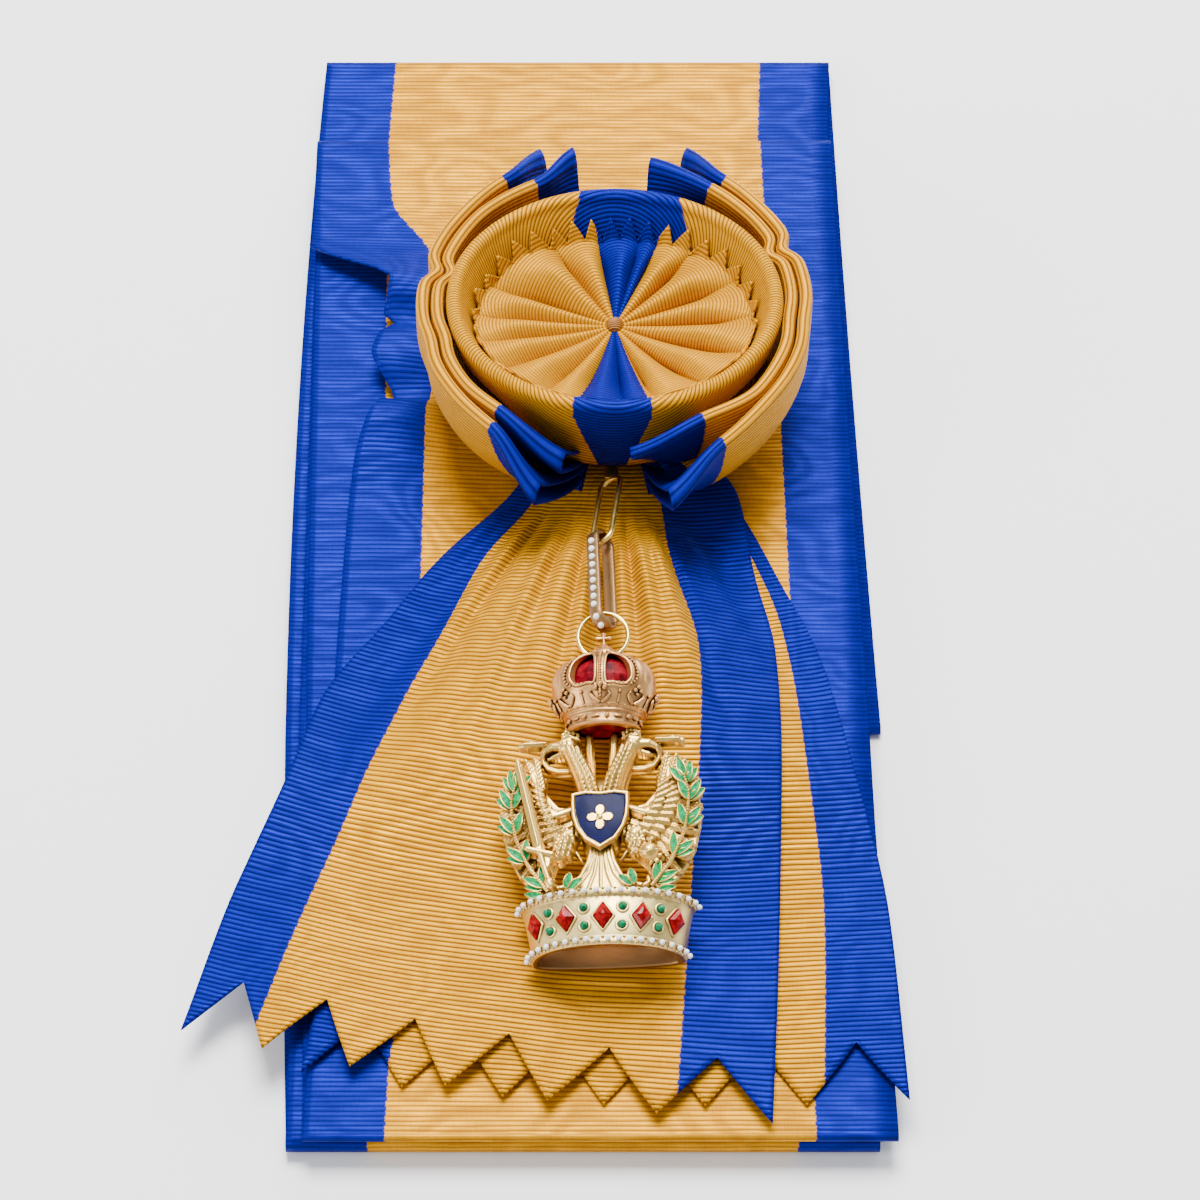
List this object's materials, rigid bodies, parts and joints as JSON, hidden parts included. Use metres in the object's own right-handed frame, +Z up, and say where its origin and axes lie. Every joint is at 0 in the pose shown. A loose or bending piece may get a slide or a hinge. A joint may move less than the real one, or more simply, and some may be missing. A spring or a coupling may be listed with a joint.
{
  "type": "order sash",
  "caption": "Folded moire sash of an order: yellow ribbon with blue edges, bow rosette, two pinked tails and an enamelled crown-and-eagle badge on a link.",
  "frame": {"origin": "underside of the folded band, on the surface it lies on, straight below the middle of the rosette", "axes": "+Z up through the rosette, +Y along the folded band away from the badge, +X to the right as seen from the badge end"},
  "size_m": [0.1245, 0.2436, 0.038],
  "materials": {
    "ribbon": "ribbed moire silk ribbon, yellow with blue edge stripes",
    "thread": "twisted orange-brown thread",
    "bright_gold": "polished gilt",
    "old_gold": "worn brownish gilt",
    "pale_gold": "pale gilt, satin",
    "copper_gold": "reddish gilt, chased",
    "navy_enamel": "glossy navy enamel in a gilt rim",
    "green_enamel": "glossy green enamel with gilt outlines",
    "red_enamel": "glossy red enamel",
    "pearl": "white beads",
    "red_stone": "faceted red stone",
    "green_stone": "faceted green stone"
  },
  "bodies": {
    "root": {"sash_band": "ribbon", "tail_lower": "ribbon", "tail_upper": "ribbon", "bow_outer_left": "ribbon", "bow_outer_right": "ribbon", "bow_inner_left": "ribbon", "bow_inner_right": "ribbon", "rosette_ring": "ribbon", "rosette_disc": "ribbon", "rosette_knot": "thread", "knot_wrap": "ribbon", "hook": "bright_gold", "link": "old_gold", "jump_ring": "pale_gold", "imperial_crown": "copper_gold", "crown_lining": "red_enamel", "eagle": "pale_gold", "shield": "navy_enamel", "wreath_left": "green_enamel", "wreath_right": "green_enamel", "iron_crown": "copper_gold", "pearl_row_top": "pearl", "pearl_row_bottom": "pearl", "red_stone_1": "red_stone", "red_stone_2": "red_stone", "red_stone_3": "red_stone", "red_stone_4": "red_stone", "red_stone_5": "red_stone", "green_stone_1": "green_stone", "green_stone_2": "green_stone", "green_stone_3": "green_stone", "green_stone_4": "green_stone", "green_stone_5": "green_stone", "green_stone_6": "green_stone", "green_stone_7": "green_stone", "green_stone_8": "green_stone"}
  },
  "joints": []
}
